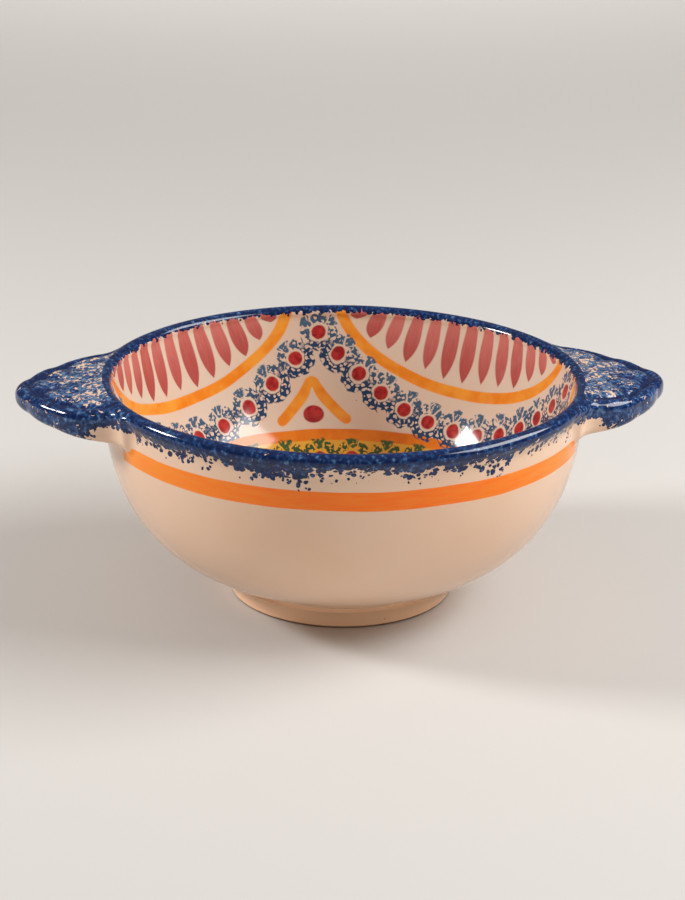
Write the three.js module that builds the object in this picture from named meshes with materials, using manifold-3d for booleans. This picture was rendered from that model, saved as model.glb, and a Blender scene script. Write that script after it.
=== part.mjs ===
import * as THREE from 'three';
import { mergeVertices } from 'three/addons/utils/BufferGeometryUtils.js';
import Module from 'manifold-3d';

const wasm = await Module();
wasm.setup();

// Bowl sizes in millimetres: it stands on z = 0, with its axis on Z and its lugs along X
const BOWL_HEIGHT = 62.6;
const RIM_RADIUS = 67.5;
const LIP_RADIUS = 2.1;
const LIP_FLARE = 2;
const FLARE_HEIGHT = 7.1;
const LIP_UNDERCUT = THREE.MathUtils.degToRad(35);
const LIP_TURN_IN = THREE.MathUtils.degToRad(200);
const BELLY_FULLNESS = 34;
const HEEL_FULLNESS = 13;
const HEEL_SLOPE = THREE.MathUtils.degToRad(29);
const FLOOR_THICKNESS = 5.5;
const FLOOR_RADIUS = 20;
const WALL_FULLNESS = 28;
const HOLLOW_FULLNESS = 28;
const WALL_TAPER = THREE.MathUtils.degToRad(16);

// Foot ring, luted flat under the bowl
const FOOT_RADIUS = 31;
const FOOT_HEIGHT = 6;
const FOOT_WIDTH = 6;
const FOOT_FLARE = 0.7;
const FOOT_EDGE = 1.1;
const SEAT_MARGIN = 1;

// Lugs: five scallops each, the tip, then a middle and an outer one down each side
const LUG_REACH = 22;
const LUG_DROP = 2;
const LUG_THICKNESS = 5.8;
const LUG_TAPER = 2.4;
const TIP_WIDTH = 16.2;
const TIP_RISE = 3.5;
const MIDDLE_WIDTH = 10.1;
const MIDDLE_FALL = 7;
const MIDDLE_BULGE = 0.9;
const OUTER_WIDTH = 7.7;
const OUTER_FALL = 13;
const OUTER_BULGE = 1.7;
const ROOT_SPREAD = 4;
const ROOT_FALL = 5.5;
const ROOT_COVE = 0.85;
const ROOT_DEPTH = 16;
const FOCUS_DEPTH = 8;

// Moulding of a lug: rounded edge, border, groove and a raised field with flutes
const EDGE_RADIUS = 2.4;
const BORDER_FLAT = 0.5;
const GROOVE_WIDTH = 1.6;
const GROOVE_DEPTH = 0.5;
const FIELD_RISE = 0.5;
const FLUTE_DEPTH = 0.9;
const ROOT_SWELL = 4;

// Slip that lutes a lug to the wall
const SLIP_GAP = 0.3;

// Fineness of the facets
const ROUND_SEGMENTS = 80;
const BELLY_STEPS = 10;
const FLARE_STEPS = 3;
const LIP_STEPS = 7;
const HOLLOW_STEPS = 12;
const CORNER_STEPS = 3;
const SCALLOP_STEPS = 6;
const EDGE_STEPS = 3;
const FIELD_STEPS = 4;
const WELD = 1e-4;

const BUFF_GLAZE = 0xdcc0a6;
const COBALT_SPONGE = 0x2b4a85;
const GLAZE_ROUGHNESS = 0.2;
const QUARTER_TURN = Math.PI / 2;

// Turn a profile of radius and height about the bowl's axis
function turned(profile) {
  return new THREE.LatheGeometry(profile, ROUND_SEGMENTS).rotateX(QUARTER_TURN);
}

function toSolid(geometry) {
  geometry.deleteAttribute('normal');
  geometry.deleteAttribute('uv');
  const welded = mergeVertices(geometry, WELD);
  const corners = welded.getIndex().array;
  const triangles = [];
  for (let i = 0; i < corners.length; i += 3) {
    const [a, b, c] = corners.slice(i, i + 3);
    if (a !== b && b !== c && c !== a) triangles.push(a, b, c);
  }
  return new wasm.Manifold(new wasm.Mesh({
    numProp: 3,
    vertProperties: welded.getAttribute('position').array,
    triVerts: new Uint32Array(triangles),
  }));
}

function toGeometry(solid) {
  const mesh = solid.getMesh();
  const geometry = new THREE.BufferGeometry();
  geometry.setAttribute('position', new THREE.BufferAttribute(mesh.vertProperties, mesh.numProp));
  geometry.setIndex(new THREE.BufferAttribute(mesh.triVerts, 1));
  geometry.computeVertexNormals();
  return geometry;
}

function piece(name, geometry, colour) {
  const finish = { color: colour, roughness: GLAZE_ROUGHNESS, metalness: 0 };
  const mesh = new THREE.Mesh(geometry, new THREE.MeshStandardMaterial(finish));
  mesh.name = name;
  return mesh;
}

const along = (angle, length) => new THREE.Vector2(Math.cos(angle), Math.sin(angle)).multiplyScalar(length);

// The lip is a round bead, set out past the top of the wall
const lipCentre = new THREE.Vector2(RIM_RADIUS - LIP_RADIUS, BOWL_HEIGHT - LIP_RADIUS);
const lipPoint = (angle) => lipCentre.clone().add(along(angle, LIP_RADIUS));

// Outside of the bowl, from the edge of the foot's seat up to the underside of the lip
function outerWall() {
  const heel = new THREE.Vector2(FOOT_RADIUS + SEAT_MARGIN, FOOT_HEIGHT);
  const wallTop = new THREE.Vector2(RIM_RADIUS - LIP_FLARE, BOWL_HEIGHT - FLARE_HEIGHT);
  const lipStart = lipPoint(-LIP_UNDERCUT);
  const flareHandle = (lipStart.y - wallTop.y) / 3;
  const belly = new THREE.CubicBezierCurve(
    heel,
    heel.clone().add(along(HEEL_SLOPE, HEEL_FULLNESS)),
    wallTop.clone().sub(along(QUARTER_TURN, BELLY_FULLNESS)),
    wallTop,
  );
  const flare = new THREE.CubicBezierCurve(
    wallTop,
    wallTop.clone().add(along(QUARTER_TURN, flareHandle)),
    lipStart.clone().sub(along(QUARTER_TURN - LIP_UNDERCUT, flareHandle)),
    lipStart,
  );
  return [...belly.getPoints(BELLY_STEPS), ...flare.getPoints(FLARE_STEPS).slice(1)];
}

// Over the lip, from its underside to where it turns into the hollow
function lip() {
  const points = [];
  for (let i = 1; i <= LIP_STEPS; i += 1) {
    points.push(lipPoint(THREE.MathUtils.lerp(-LIP_UNDERCUT, LIP_TURN_IN, i / LIP_STEPS)));
  }
  return points;
}

// Inside of the bowl, from the lip down to the flat of the floor
function innerWall() {
  const top = lipPoint(LIP_TURN_IN);
  const floor = new THREE.Vector2(FLOOR_RADIUS, FOOT_HEIGHT + FLOOR_THICKNESS);
  const hollow = new THREE.CubicBezierCurve(
    top,
    top.clone().sub(along(QUARTER_TURN - WALL_TAPER, WALL_FULLNESS)),
    floor.clone().add(along(0, HOLLOW_FULLNESS)),
    floor,
  );
  return hollow.getPoints(HOLLOW_STEPS).slice(1);
}

function bowlBody() {
  return turned([
    new THREE.Vector2(0, FOOT_HEIGHT),
    ...outerWall(),
    ...lip(),
    ...innerWall(),
    new THREE.Vector2(0, FOOT_HEIGHT + FLOOR_THICKNESS),
  ]);
}

// Quarter round at the bottom edge of the foot, from one angle to the next
function footCorner(radius, fromAngle) {
  const centre = new THREE.Vector2(radius, FOOT_EDGE);
  const points = [];
  for (let i = 0; i <= CORNER_STEPS; i += 1) {
    points.push(centre.clone().add(along(fromAngle + QUARTER_TURN * i / CORNER_STEPS, FOOT_EDGE)));
  }
  return points;
}

function footRing() {
  const inside = FOOT_RADIUS - FOOT_WIDTH;
  return turned([
    new THREE.Vector2(inside, FOOT_HEIGHT),
    ...footCorner(inside + FOOT_EDGE, Math.PI),
    ...footCorner(FOOT_RADIUS - FOOT_EDGE, -QUARTER_TURN),
    new THREE.Vector2(FOOT_RADIUS + FOOT_FLARE, FOOT_HEIGHT),
    new THREE.Vector2(inside, FOOT_HEIGHT),
  ]);
}

// One scallop as a parabola over its chord, with crest 1 at its middle and 0 at its two notches
function scallop(start, end, bulge) {
  const chord = end.clone().sub(start);
  const outward = new THREE.Vector2(chord.y, -chord.x).normalize();
  const middle = start.clone().add(end).multiplyScalar(0.5);
  const curve = new THREE.QuadraticBezierCurve(start, middle.addScaledVector(outward, 2 * bulge), end);
  const crest = (i) => Math.sin(Math.PI * i / SCALLOP_STEPS);
  return curve.getPoints(SCALLOP_STEPS).map((at, i) => ({ at, crest: crest(i) }));
}

const mirrored = (point) => new THREE.Vector2(point.x, -point.y);

// Plan of a lug on +X, anticlockwise, and closed well inside the wall
function lugOutline() {
  const tipNotch = new THREE.Vector2(RIM_RADIUS + LUG_REACH - TIP_RISE, TIP_WIDTH / 2);
  const sideNotch = tipNotch.clone().add(new THREE.Vector2(-MIDDLE_FALL, MIDDLE_WIDTH));
  const shoulder = sideNotch.clone().add(new THREE.Vector2(-OUTER_FALL, OUTER_WIDTH));
  const root = shoulder.clone().add(new THREE.Vector2(-ROOT_FALL, ROOT_SPREAD));
  const back = new THREE.Vector2(root.x - ROOT_DEPTH, root.y);
  const corners = [back, root, shoulder, sideNotch, tipNotch];
  const [backLow, rootLow, shoulderLow, sideNotchLow, tipNotchLow] = corners.map(mirrored);
  const runs = [
    scallop(rootLow, shoulderLow, -ROOT_COVE),
    scallop(shoulderLow, sideNotchLow, OUTER_BULGE),
    scallop(sideNotchLow, tipNotchLow, MIDDLE_BULGE),
    scallop(tipNotchLow, tipNotch, TIP_RISE),
    scallop(tipNotch, sideNotch, MIDDLE_BULGE),
    scallop(sideNotch, shoulder, OUTER_BULGE),
    scallop(shoulder, root, -ROOT_COVE),
  ];
  const points = [{ at: backLow, crest: 1 }];
  runs.forEach((run) => points.push(...run.slice(0, -1)));
  points.push({ at: root, crest: 1 }, { at: back, crest: 1 });
  return points;
}

// Rings of a lug's skin, from the middle of its face out to the edge and back in underneath.
// Each has how far in from the outline it lies, for a given reach from focus to outline, and its height.
// A point's crest is 1 on a scallop and 0 in a notch, and its sag is how far its underside hangs down.
function lugRings() {
  const top = BOWL_HEIGHT - LUG_DROP;
  const bottom = top - LUG_THICKNESS;
  const edge = Math.min(EDGE_RADIUS, LUG_THICKNESS / 2);
  const border = edge + BORDER_FLAT;
  const fieldEdge = border + GROOVE_WIDTH;
  const rings = [];
  for (let i = FIELD_STEPS - 1; i >= 0; i -= 1) {
    const t = i / FIELD_STEPS;
    rings.push({
      inset: (reach) => THREE.MathUtils.lerp(fieldEdge, reach, t),
      height: (crest) => top + FIELD_RISE - FLUTE_DEPTH * (1 - crest) * (1 - t),
    });
  }
  rings.push({ inset: () => border + GROOVE_WIDTH / 2, height: () => top - GROOVE_DEPTH });
  rings.push({ inset: () => border, height: () => top });
  for (let i = EDGE_STEPS; i >= 0; i -= 1) {
    const round = along(QUARTER_TURN * i / EDGE_STEPS, edge);
    rings.push({ inset: () => edge - round.x, height: () => top - edge + round.y });
  }
  for (let i = 0; i <= EDGE_STEPS; i += 1) {
    const round = along(QUARTER_TURN * i / EDGE_STEPS, edge);
    rings.push({ inset: () => edge - round.x, height: (crest, sag) => bottom + edge - round.y - sag });
  }
  for (let i = 1; i < FIELD_STEPS; i += 1) {
    const t = i / FIELD_STEPS;
    rings.push({
      inset: (reach) => THREE.MathUtils.lerp(edge, reach, t),
      height: (crest, sag) => bottom - sag - ROOT_SWELL * t * t,
    });
  }
  return { rings, crown: top + FIELD_RISE, sole: bottom - LUG_TAPER - ROOT_SWELL };
}

// Closed skin through the rings, with a fan at the crown of the face and one at the sole
function lugBlank() {
  const focus = new THREE.Vector2(RIM_RADIUS - FOCUS_DEPTH, 0);
  const outline = lugOutline();
  const { rings, crown, sole } = lugRings();
  const count = outline.length;
  const tip = RIM_RADIUS + LUG_REACH;
  const positions = [focus.x, focus.y, crown, focus.x, focus.y, sole];
  rings.forEach((ring) => {
    outline.forEach(({ at, crest }) => {
      const ray = at.clone().sub(focus);
      const reach = ray.length();
      const spot = focus.clone().addScaledVector(ray, 1 - ring.inset(reach) / reach);
      const sag = LUG_TAPER * (tip - spot.x) / LUG_REACH;
      positions.push(spot.x, spot.y, ring.height(crest, sag));
    });
  });
  const vertex = (ring, i) => 2 + ring * count + (i % count);
  const indices = [];
  for (let i = 0; i < count; i += 1) {
    indices.push(0, vertex(0, i), vertex(0, i + 1));
    for (let ring = 0; ring + 1 < rings.length; ring += 1) {
      indices.push(vertex(ring, i), vertex(ring + 1, i), vertex(ring + 1, i + 1));
      indices.push(vertex(ring, i), vertex(ring + 1, i + 1), vertex(ring, i + 1));
    }
    indices.push(1, vertex(rings.length - 1, i + 1), vertex(rings.length - 1, i));
  }
  const geometry = new THREE.BufferGeometry();
  geometry.setAttribute('position', new THREE.Float32BufferAttribute(positions, 3));
  geometry.setIndex(indices);
  return geometry;
}

// Everything inside the outer wall, grown by the slip and carried straight up past the lip
function wallCutter() {
  const grown = (point) => new THREE.Vector2(point.x + SLIP_GAP, point.y);
  const above = BOWL_HEIGHT + LUG_THICKNESS;
  return turned([
    new THREE.Vector2(0, FOOT_HEIGHT),
    ...outerWall().map(grown),
    grown(lipPoint(0)),
    new THREE.Vector2(RIM_RADIUS + SLIP_GAP, above),
    new THREE.Vector2(0, above),
  ]);
}

function lug() {
  return toGeometry(toSolid(lugBlank()).subtract(toSolid(wallCutter())));
}

const bowl = new THREE.Group();
bowl.add(piece('bowl_body', bowlBody(), BUFF_GLAZE));
bowl.add(piece('foot_ring', footRing(), BUFF_GLAZE));
bowl.add(piece('right_lug', lug(), COBALT_SPONGE));

const leftLug = piece('left_lug', lug(), COBALT_SPONGE);
leftLug.rotation.z = Math.PI;
bowl.add(leftLug);

export default bowl;
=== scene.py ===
import math

import bpy
import numpy as np
from mathutils import Matrix, Vector


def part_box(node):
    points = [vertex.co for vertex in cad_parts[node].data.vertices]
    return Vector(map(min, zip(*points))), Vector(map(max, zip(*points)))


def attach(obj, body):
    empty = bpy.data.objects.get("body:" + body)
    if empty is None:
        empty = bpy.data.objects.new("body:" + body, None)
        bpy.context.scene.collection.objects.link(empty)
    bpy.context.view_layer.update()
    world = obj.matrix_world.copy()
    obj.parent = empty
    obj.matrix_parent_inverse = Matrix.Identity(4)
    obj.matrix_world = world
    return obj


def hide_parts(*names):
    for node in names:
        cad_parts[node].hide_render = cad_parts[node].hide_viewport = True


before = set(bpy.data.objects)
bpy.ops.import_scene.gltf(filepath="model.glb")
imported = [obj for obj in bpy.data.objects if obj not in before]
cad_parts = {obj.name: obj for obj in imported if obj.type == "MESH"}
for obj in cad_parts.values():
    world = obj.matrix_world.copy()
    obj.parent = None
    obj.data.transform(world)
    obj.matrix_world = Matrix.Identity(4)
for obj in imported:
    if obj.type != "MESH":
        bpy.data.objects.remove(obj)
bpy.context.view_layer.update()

MM = 0.001
DEGREE = math.pi / 180
QUARTER = 90

# Bowl profile in millimetres; the outermost sizes come from the parts in model.glb
RIM_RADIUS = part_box("bowl_body")[1].x / MM
BOWL_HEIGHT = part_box("bowl_body")[1].z / MM
FOOT_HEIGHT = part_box("foot_ring")[1].z / MM
LIP_RADIUS = 2.1
LIP_FLARE = 2.0
FLARE_HEIGHT = 7.1
LIP_UNDERCUT = 35 * DEGREE
LIP_TURN_IN = 200 * DEGREE
BELLY_FULLNESS = 38.7
HEEL_FULLNESS = 6.0
HEEL_SLOPE = 18 * DEGREE
HEEL_RADIUS = 32.0
HEEL_LIFT = 0.95
NECK_RADIUS = 31.7
FLOOR_THICKNESS = 5.5
FLOOR_RADIUS = 20.0
WALL_FULLNESS = 28.0
HOLLOW_FULLNESS = 28.0
WALL_TAPER = 16 * DEGREE

# Foot ring
FOOT_RADIUS = 31.0
FOOT_FLARE = 0.7
FOOT_INSIDE = 25.0
FOOT_EDGE = 0.6
HEEL_GROOVE = 0.3
HEEL_BEAD = 0.15
BEAD_DROP = 0.9

# Lug outline in plan, on the +X side: shoulder and notches between its scallops
TIP_MARGIN = 0.2
LUG_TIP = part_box("right_lug")[1].x / MM - TIP_MARGIN
LUG_POINTS = ((66.0, 25.9), (79.0, 18.2), (86.0, 8.1))
LUG_ROOT = (60.5, 29.9)
LUG_BACK = 48.0
SCALLOP_BULGES = (1.7, 0.9)
SCALLOP_STEPS = 16
ROOT_COVE = 0.85

# Lug moulding: rounded edge, border, groove, raised field and flutes that fan out from a focus
LUG_TOP = 60.6
LUG_THICKNESS = 5.8
LUG_TAPER = 0.11
EDGE_RADIUS = 2.4
BORDER_INSET = 2.8
GROOVE_INSET = 3.9
GROOVE_WIDTH = 0.9
GROOVE_DEPTH = 0.7
FIELD_INSET = 6.5
FIELD_RISE = 0.45
FLUTE_FOCUS = 59.5
FLUTE_DEPTH = 0.6
FLUTE_WIDTH = 0.10
FLUTE_TWIST = 0.02
FLUTE_START = 0.4
FLUTE_REACH = 15.0
ROOT_RISE = 1.0
RISE_START = 80.0

# Fillets that run from a lug into the wall and the lip
TOP_FILLET = 3.4
UNDER_FILLET = 2.4
FILLET_LOW = 54.0
FILLET_HIGH = 60.0
CROWN_EASE = 0.65
PATCH_MARGIN = 0.3
SINK = 0.8
TUCK = 0.03

# Grid on which a lug is sampled
GRID_STEP = 0.4
GRID_ASIDE = 12.0
GRID_BOTTOM = 38.0
SECTION_MARGIN = 1.0
EDGE_PASSES = 4
RELAX_PASSES = 3

# Fineness of the turned meshes
SEGMENTS = 288
FLOOR_STEPS = 8
HOLLOW_STEPS = 64
LIP_STEPS = 26
FLARE_STEPS = 8
BELLY_STEPS = 50
CORNER_STEPS = 8

# Sockets of a mix node that are for colours: share, first and second colour, and result
MIX_INPUTS = (0, 6, 7)
MIX_RESULT = 2

# Hand of the painter: how far lines stray from their true places
DECOR_TURN = 2.4
HAND_SIZE = 20.0
HAND_LIFT = 1.6
HAND_SWAY = 1.4
PAINT_SOFT = 0.22
SHARP = 0.01

# Ground: clouds of a deeper tone, and specks by spacing, radius, share of cells, strength and seed
CLOUD_SIZE = 26.0
CLOUD_RANGE = (0.35, 0.75)
CLOUD_STRENGTH = 0.35
SPECKS = ((7.0, 0.22, 0.16, 0.55, 5), (15.0, 0.42, 0.10, 0.5, 9))
LUCK_EDGE = 0.001

# Glaze
GLAZE_ROUGHNESS = 0.09
GLAZE_IOR = 1.43
RIPPLE_SIZE = 9.0
RIPPLE_DEPTH = 0.02

# Painted ornament: places along the inside are arc lengths from the middle of the floor
OUTER_RING_ARC = 55.4
INNER_RING_ARC = 39.5
RING_WIDTH = 3.5
STREAK_SIZE = 6.0
STREAK_RANGE = (0.35, 0.7)
GARLAND_ARC = 48.0
GARLAND_COUNT = 30
MOTTLE_RANGE = (0.35, 0.65)

# Swags
SWAG_TOP = 97.0
SWAG_ARC = 72.0
SWAG_HALF_SPAN = 42.5
SWAG_WIDTH = 3.4
SWAG_RADIUS = 64.0

# Petals: the luck of a petal varies its length, width and depth of colour
RIM_ARC = 94.0
PETAL_STEP = 5.25
PETAL_SPAN = 34.0
PETAL_SPLAY = 0.013
PETAL_LENGTH = 19.5
PETAL_LEAST = 0.5
PETAL_ROUND = 0.8
LENGTH_LUCK = (0.90, 1.02)
PETAL_WIDTH = 5.2
PETAL_NECK = 0.62
PETAL_SWELL = 0.9
PETAL_POINT = 3.6
WIDTH_LUCK = (0.86, 1.10)
PETAL_SOFT = 0.3
PETAL_ROOM = 0.12
PETAL_COVER = 0.95
BRUSH_ACROSS = 1.1
BRUSH_ALONG = 0.16
BRUSH_SHIFT = 7.0
BRUSH_LUCK = 9.0
DEEP_BRUSH = 0.45
DEEP_TIP = 0.55
DEEP_LUCK = 0.32
DEEP_RANGE = (0.30, 0.98)

# Chain of dabs, one half of it with fewer
CHAIN_TURN = -1.2
CHAIN_LOW = 60.7
CHAIN_RISE = 25.6
CHAIN_POWER = 2.2
CHAIN_STEPS = 6
SPARSE_STEPS = 5
CHAIN_SAMPLES = 400
CHAIN_LEAN = 1.25
FAR = 1e6

# Chevrons
CHEVRON_TURN = 1.2
CHEVRON_TOP = 75.1
CHEVRON_DROP = 14.7
CHEVRON_SPAN = 9.6
CHEVRON_POWER = 0.6
CHEVRON_BLUNT = 0.9
CHEVRON_WIDTH = 3.3
CHEVRON_CAP = 0.8
CHEVRON_END = 0.1
CHEVRON_DOT = (3.1, 2.7)
CHEVRON_DOT_ARC = 61.8
CHEVRON_DOT_SOFT = 0.08
CHEVRON_MOTTLE = 2.5

# One dab of the shaped sponge: a red dot, lace below it and a fan above
DAB_WARP_SIZE = 2.0
DAB_WARP = 2.0
DAB_GRAIN = 1.1
DAB_SOFT = 0.12
DOT_RADIUS = 2.1
DOT_SQUASH = 0.95
DOT_WARP = 0.5
DOT_MOTTLE = 1.8
LACE_INNER = 2.9
LACE_OUTER = 5.7
LACE_ROW = 1.45
LACE_HOLES = 15
LACE_LOBES = 9
LOBE_DEPTH = 0.25
STRAND_GRAIN = 2.5
STRAND_LEVEL = 0.64
DASH_RANGE = (-0.06, 0.0)
LACE_TURN = (-0.2, 0.4)
LACE_DARK = (1.2, -0.2)
FAN_FOOT = 2.2
FAN_TOP = 6.4
FAN_SPREAD = 0.55
FAN_GAP = 0.9
FAN_EDGE = (0.4, 0.8)
HATCH_ACROSS = 5.0
HATCH_UP = 1.5
HATCH_DEPTH = 0.1
HATCH_GRAIN = 1.4
HATCH_LEVEL = 0.16

# Flower spray on the floor, its right half, in millimetres from the bowl's axis
SPRAY_SIZE = 9.0
SPRAY_SWAY = (1.2, 1.4)
SPRAY_MOTTLE = 2.2
SPRAY_RANGE = (0.3, 0.7)
STEM_HALF_WIDTH = 0.65
STEM_MIDDLE = -12.0
STEM_HALF_LENGTH = 17.0
BRANCH_FOOT = -17.0
BRANCH_REACH = 17.0
BRANCH_RISE = 17.0
BRANCH_POWER = 1.7
BRANCH_SLOPE = 0.1
BRANCH_HALF_WIDTH = 0.6
LEAVES = (((7.5, -23.0), 28, 15.0, 5.2), ((12.0, -14.0), -18, 12.0, 4.6), ((6.0, -4.0), 48, 12.0, 4.4))
LEAF_SOFT = 0.25
BUD_CENTRE = (18.0, 3.0)
BUD_ANGLES = (20, 58, 96)
BUD_REACH = 4.6
BUD_LENGTH = 9.5
BUD_WIDTH = 4.6
CALYX_CENTRE = (18.0, 2.6)
CALYX_RADIUS = 2.6
FLOWER_HEIGHT = 14.0
FLOWER_LOBES = 3
FLOWER_WAVE = 4.6
FLOWER_EDGE = 8.2
FLOWER_INSIDE = 6.9
VEIN_HALF_WIDTH = 0.45
VEIN_REACH = 9.5
EYE_RADIUS = 4.2
PUPIL_RADIUS = 2.7
SPOTS = ((9.5, 29.0), (21.0, 15.5), (24.5, -6.0), (17.0, -24.0))
SPOT_RADIUS = 1.25

# Orange band round the outside, deeper midway between the lugs as painted shade
BAND_LOW = 47.3
BAND_HIGH = 52.5
BAND_CUT = 22.0
BAND_REACH = 0.4
BAND_SOFT = 0.15
BAND_WAVER_SIZE = 16.0
BAND_WAVER = 0.8
BAND_ROUND = 0.12
BAND_UP = 0.9
BAND_STREAK = (0.35, 0.75)
BAND_STREAK_DEPTH = 0.5
# Deeper orange away from the lugs, towards the front and back: painted shade
BAND_FRONT_SHADE = (25, 80)
BAND_FRONT_SHADE_DEPTH = 0.6

# Sponge: size of its dabs, their ragged edges, and the tones of the blue
SPONGE_DAB = 1.3
LUG_DAB = 1.0
SPONGE_GRAIN = 1.45
SPONGE_TONE = 1.2
SPONGE_REACH = 0.9
SPONGE_LUCK = 0.7
SPONGE_RAGGED = 1.4
SPONGE_EDGE = 0.06
COAT_DEPTH = 0.6
COAT_TONE = 0.09
COBALT_RANGE = (0.54, 0.70)
LIGHT_RANGE = (0.66, 0.85)

# Sponge on the lip: full cover, and fades by where each starts and ends below the lip, and its loss
LIP_COVER = 1.25
INSIDE_FADES = ((1.4, 3.2, 0.8), (2.6, 4.6, 1.0))
OUTSIDE_FADES = ((3.2, 8.5, 0.85), (7.5, 11.0, 0.5), (10.0, 13.0, 0.7))
WAVE_SIZE = 14.0
WAVE_ROUGHNESS = 0.55
WAVE_DEPTH = 9.0

# Sponge on the lugs: worn on the face and paler there, partly as painted sheen, thin low down and at the
# root, pooled in the grooves
LUG_PATCH = 8.0
FACE_RANGE = (57.5, 59.5)
WORN_INSET = (2.6, 5.4)
WORN_OUT = (93.0, 74.0)
WORN_PATCH = (0.15, 0.58)
LOW_RANGE = (57.5, 52.5)
LOW_RAGGED = 5.0
ROOT_OUT = (73.5, 69.5)
ROOT_UNDER = (58.5, 55.5)
ROOT_RAGGED = 4.0
LUG_COVER = 1.11
WORN_LOSS = 0.5
LOW_LOSS = 0.5
ROOT_LOSS = 1.6
POOLED_GAIN = 0.5
LUG_WASH = 0.035
# Paler tone on the worn top face: partly the sponge's pale blue, partly painted sheen
WORN_WASH_AND_SHEEN = 0.17
POOLED_WASH = 0.2

# Standing face of the foot, wiped free of glaze, its bare clay painted dark partly as painted contact shadow
BARE_HEIGHT = 0.6
BARE_SIZE = 3.0
BARE_RAGGED = 0.3
BARE_SOFT = 0.12
BARE_ROUGHNESS = 0.7
FOOT_ROUGHNESS = 0.14

# Camera, fitted to the photograph's lower picture
FRAME_HEIGHT = 900
FOCAL_PIXELS = 2264.5
CAMERA_TURN = -6.0
CAMERA_RISE = 19.94
CAMERA_DISTANCE = 627.3
LOOK_HEIGHT = 40.0
CAMERA_ROLL = 0.9
CLIP_END = 20.0

# Lamps: turn and rise from the camera, metres off, wide and high, power, and if the glaze shows them
SOFTBOXES = {
    "right_softbox": (88, 40, 0.9, 0.84, 0.40, 11.7, True),
    "left_softbox": (-92, 28, 0.9, 0.23, 0.15, 7.8, True),
    "front_card": (0, 8, 1.0, 1.4, 0.14, 1.5, False),
}

# Half width of a lamp, and the part of it over which the light is even, as shares of the whole
LAMP_HALF = 0.5
LAMP_EVEN = 0.38

# Lamp over the floor far behind the bowl, in metres
BACKDROP_REACH = 1.32
BACKDROP_RISE = 1.0
BACKDROP_WIDTH = 1.6
BACKDROP_DEPTH = 0.5
BACKDROP_POWER = 5.2
BACKDROP_SPREAD = 96 * DEGREE

# Light from all round
STUDIO_LEVEL = 0.40

# Floor and the sweep behind it
FLOOR_SIDES = 96
FLOOR_RINGS = (600.0, 1600.0)
SWEEP_START = 3000.0
SWEEP_RADIUS = 1200.0
SWEEP_STEPS = 12
SWEEP_TOP = 3000.0
FLOOR_ROUGHNESS = 0.85
FLOOR_SPECULAR = 0.2


def srgb(red, green, blue):
    """A colour written as 0 to 255, as the linear one that a shader takes."""
    def linear(level):
        level /= 255
        return level / 12.92 if level <= 0.04045 else ((level + 0.055) / 1.055) ** 2.4
    return (linear(red), linear(green), linear(blue), 1.0)


BUFF = srgb(231, 197, 171)
BUFF_DEEP = srgb(227, 184, 150)
# The inside ground is the body's buff painted darker and greyer, as painted shade in the hollow
SHADED_HOLLOW_BUFF = srgb(220, 199, 180)
# The foot's buff is painted lighter and warmer than the body's, as painted fill light on the foot in the
# belly's shade
LIT_FOOT_BUFF = srgb(255, 206, 166)
ORANGE = srgb(247, 142, 30)
ORANGE_DEEP = srgb(252, 112, 0)
AMBER = srgb(241, 157, 56)
AMBER_DEEP = srgb(233, 129, 29)
# The rings' deep orange is darker than the swags', partly as painted shade at the bottom of the hollow
SHADED_RING_DEEP = srgb(220, 110, 14)
YELLOW = srgb(228, 168, 58)
ROSE = srgb(204, 112, 104)
ROSE_DEEP = srgb(172, 65, 61)
RED = srgb(188, 54, 50)
RED_DEEP = srgb(146, 34, 38)
COBALT_DARK = srgb(8, 30, 74)
COBALT = srgb(28, 64, 116)
COBALT_LIGHT = srgb(94, 124, 156)
LACE_BLUE = srgb(40, 66, 100)
LEAF_BLUE = srgb(74, 100, 124)
LACE_GREEN = srgb(34, 58, 40)
LEAF_GREEN = srgb(66, 92, 48)
NAVY = srgb(26, 38, 84)
SKY = srgb(86, 128, 200)
RUSSET = srgb(140, 58, 22)
# Bare clay of the foot's standing face, painted darker than the clay partly as painted contact shadow along
# the floor
CLAY_AND_CONTACT_SHADE = srgb(136, 102, 78)
SPECK = srgb(120, 84, 64)
FLOOR_GREY = srgb(205, 202, 198)
STUDIO_WHITE = srgb(238, 230, 221)


# Meshes

def heading(angle):
    return np.array((math.cos(angle), math.sin(angle)))


def rounding(centre, radius, start, end, steps):
    """Points on an arc about a centre."""
    return np.array([centre + radius * heading(a) for a in np.linspace(start, end, steps + 1)])


def bezier(a, b, c, d, steps):
    """Points along a cubic curve from a to d, with b and c as its handles."""
    t = np.linspace(0, 1, steps + 1)[:, None]
    return (1 - t) ** 3 * a + 3 * (1 - t) ** 2 * t * b + 3 * (1 - t) * t ** 2 * c + t ** 3 * d


def joined(first, *runs):
    """One polyline of several, each starting where the last one ends."""
    return np.vstack((first, *[run[1:] for run in runs]))


lip_centre = np.array((RIM_RADIUS - LIP_RADIUS, BOWL_HEIGHT - LIP_RADIUS))


def lip_point(angle):
    return lip_centre + LIP_RADIUS * heading(angle)


def inner_wall():
    """From the flat of the floor up to where the lip turns in."""
    top = lip_point(LIP_TURN_IN)
    floor = np.array((FLOOR_RADIUS, FOOT_HEIGHT + FLOOR_THICKNESS))
    top_handle = top - WALL_FULLNESS * heading(math.pi / 2 - WALL_TAPER)
    return bezier(floor, floor + (HOLLOW_FULLNESS, 0), top_handle, top, HOLLOW_STEPS)


def lip(start=LIP_TURN_IN):
    """Over the lip, from the inside to its underside."""
    return rounding(lip_centre, LIP_RADIUS, start, -LIP_UNDERCUT, LIP_STEPS)


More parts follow.
